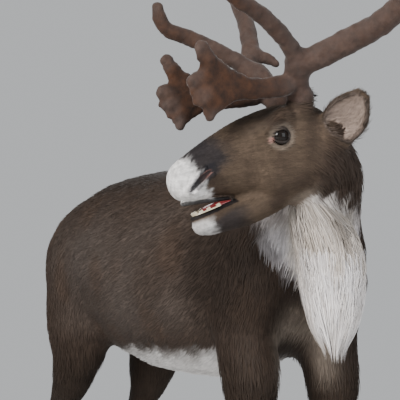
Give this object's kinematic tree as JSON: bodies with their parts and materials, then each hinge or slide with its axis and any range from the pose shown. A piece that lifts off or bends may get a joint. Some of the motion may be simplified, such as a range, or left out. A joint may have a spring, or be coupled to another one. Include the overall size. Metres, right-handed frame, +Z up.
{
  "type": "reindeer",
  "caption": "Life-size still reindeer bull, standing with its head turned to its right, antlers in velvet, mouth a little open and a long pale throat mane.",
  "frame": {"origin": "on the floor under the middle of the animal's bounding box, at the level of the hoof soles", "axes": "+X the way the body faces, +Y to the animal's left, +Z up"},
  "size_m": [1.8196, 0.7464, 1.8019],
  "materials": {
    "coat": "short dense grey-brown winter hair, darker on the shoulder and legs, white on the belly and muzzle",
    "mane": "long soft cream-white hair with a few grey-brown strands",
    "velvet": "short reddish-brown velvet over antler bone, paler and bluish at the tips",
    "hoof": "dark horn with growth rings, dull shine",
    "eye": "wet, near-black",
    "tooth": "pale ivory enamel",
    "tongue": "wet red flesh"
  },
  "bodies": {
    "root": {"antler_left_base": "velvet", "antler_left_beam": "velvet", "antler_left_bez": "velvet", "antler_left_brow": "velvet", "antler_left_crown": "velvet", "antler_right_base": "velvet", "antler_right_beam": "velvet", "antler_right_bez": "velvet", "antler_right_brow": "velvet", "antler_right_crown": "velvet", "ear_left": "coat", "ear_right": "coat", "eye_left": "eye", "eye_right": "eye", "forefoot_left_claw_inner": "hoof", "forefoot_left_claw_outer": "hoof", "forefoot_left_dewclaw_inner": "hoof", "forefoot_left_dewclaw_outer": "hoof", "forefoot_right_claw_inner": "hoof", "forefoot_right_claw_outer": "hoof", "forefoot_right_dewclaw_inner": "hoof", "forefoot_right_dewclaw_outer": "hoof", "foreleg_left_lower": "coat", "foreleg_left_upper": "coat", "foreleg_right_lower": "coat", "foreleg_right_upper": "coat", "head": "coat", "hindfoot_left_claw_inner": "hoof", "hindfoot_left_claw_outer": "hoof", "hindfoot_left_dewclaw_inner": "hoof", "hindfoot_left_dewclaw_outer": "hoof", "hindfoot_right_claw_inner": "hoof", "hindfoot_right_claw_outer": "hoof", "hindfoot_right_dewclaw_inner": "hoof", "hindfoot_right_dewclaw_outer": "hoof", "hindleg_left_lower": "coat", "hindleg_left_upper": "coat", "hindleg_right_lower": "coat", "hindleg_right_upper": "coat", "lower_jaw": "coat", "mane": "mane", "neck": "coat", "tail": "coat", "teeth_lower": "tooth", "tongue": "tongue", "torso": "coat"}
  },
  "joints": []
}
